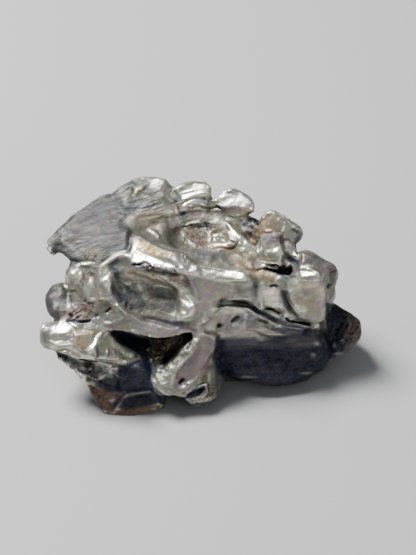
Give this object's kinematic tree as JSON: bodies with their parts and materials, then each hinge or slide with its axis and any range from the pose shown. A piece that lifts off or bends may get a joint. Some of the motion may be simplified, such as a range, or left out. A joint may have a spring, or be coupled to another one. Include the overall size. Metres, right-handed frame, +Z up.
{
  "type": "iron meteorite",
  "caption": "Natural lump of nickel-iron with angular chunks, rounded knuckles, deep hollows and thin overhanging lips, lying on its worn underside.",
  "frame": {"origin": "under the middle of the lump's box, on the surface that it lies on", "axes": "+Z up, +X to the right of the lump's best side and along its length, -Y towards the viewer of that side"},
  "size_m": [0.0408, 0.022, 0.0216],
  "materials": {
    "nickel_iron": "hand-worn nickel-iron, bright on ridges, dark oxide and rust in the hollows"
  },
  "bodies": {
    "root": {"meteorite": "nickel_iron"}
  },
  "joints": []
}
